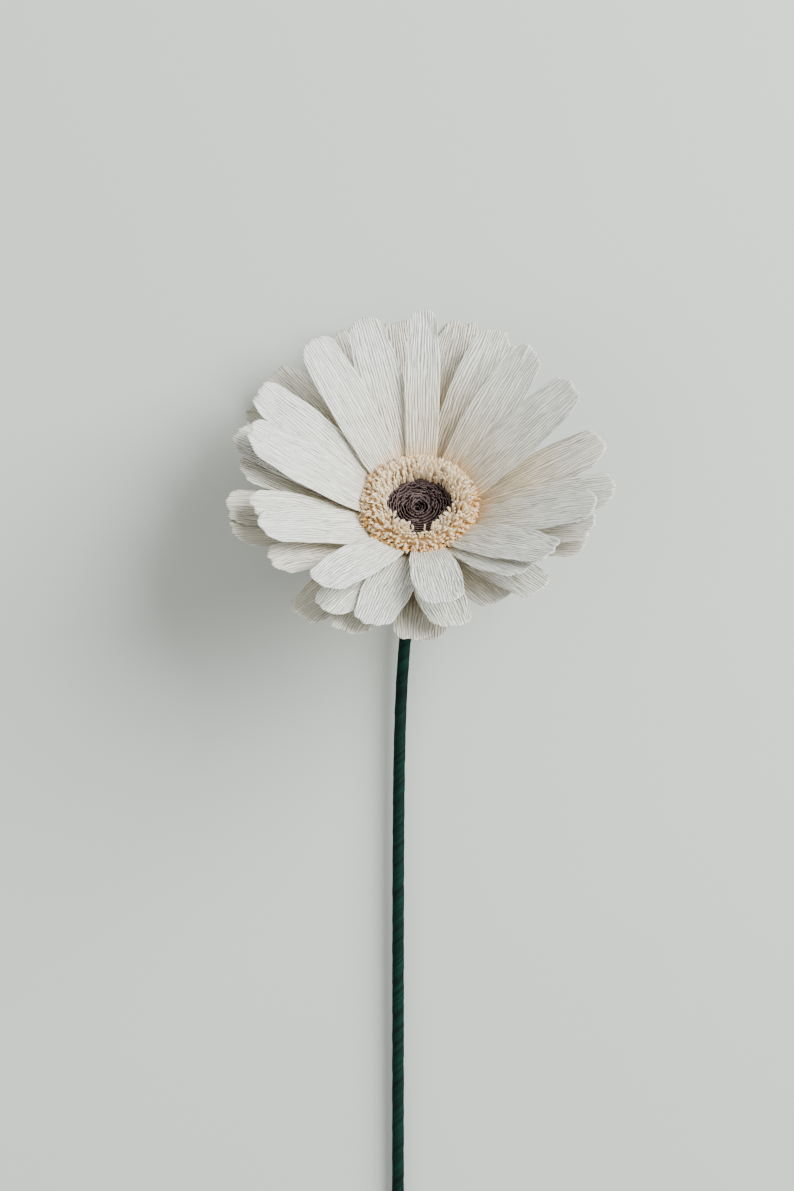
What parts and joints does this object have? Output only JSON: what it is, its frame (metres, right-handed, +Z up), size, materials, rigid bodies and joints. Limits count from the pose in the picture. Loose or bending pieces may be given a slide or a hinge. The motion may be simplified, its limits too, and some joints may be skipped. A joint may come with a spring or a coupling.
{
  "type": "paper flower",
  "caption": "Crepe-paper gerbera daisy with ivory petals, a cream and orange fringed ring, a dark rolled centre and a green taped wire stem, lying face up.",
  "frame": {"origin": "middle of the footprint on the surface the flower lies on, z = 0 at its lowest point", "axes": "+Y from the cut end of the stem to the flower head, +Z up and out of the face-up head, +X to the right seen from above with the head at the far end"},
  "size_m": [0.1072, 0.3536, 0.0713],
  "materials": {
    "petal_paper": "matt ivory crepe paper",
    "inner_fringe_paper": "matt cream crepe paper",
    "outer_fringe_paper": "matt cream crepe paper tinted orange at the foot",
    "roll_paper": "matt dark brown crepe paper",
    "calyx_paper": "matt green crepe paper",
    "stem_tape": "waxed dark green floral tape",
    "stem_wire": "bare steel wire"
  },
  "bodies": {
    "root": {"petal_01": "petal_paper", "petal_02": "petal_paper", "petal_03": "petal_paper", "petal_04": "petal_paper", "petal_05": "petal_paper", "petal_06": "petal_paper", "petal_07": "petal_paper", "petal_08": "petal_paper", "petal_09": "petal_paper", "petal_10": "petal_paper", "petal_11": "petal_paper", "petal_12": "petal_paper", "petal_13": "petal_paper", "petal_14": "petal_paper", "petal_15": "petal_paper", "petal_16": "petal_paper", "petal_17": "petal_paper", "petal_18": "petal_paper", "petal_19": "petal_paper", "petal_20": "petal_paper", "petal_21": "petal_paper", "petal_22": "petal_paper", "petal_23": "petal_paper", "petal_24": "petal_paper", "petal_25": "petal_paper", "petal_26": "petal_paper", "petal_27": "petal_paper", "petal_28": "petal_paper", "petal_29": "petal_paper", "petal_30": "petal_paper", "petal_31": "petal_paper", "petal_32": "petal_paper", "petal_33": "petal_paper", "petal_34": "petal_paper", "petal_35": "petal_paper", "petal_36": "petal_paper", "petal_37": "petal_paper", "petal_38": "petal_paper", "centre_roll": "roll_paper", "inner_fringe": "inner_fringe_paper", "outer_fringe": "outer_fringe_paper", "calyx": "calyx_paper", "stem_wire": "stem_wire", "stem_tape": "stem_tape"}
  },
  "joints": []
}
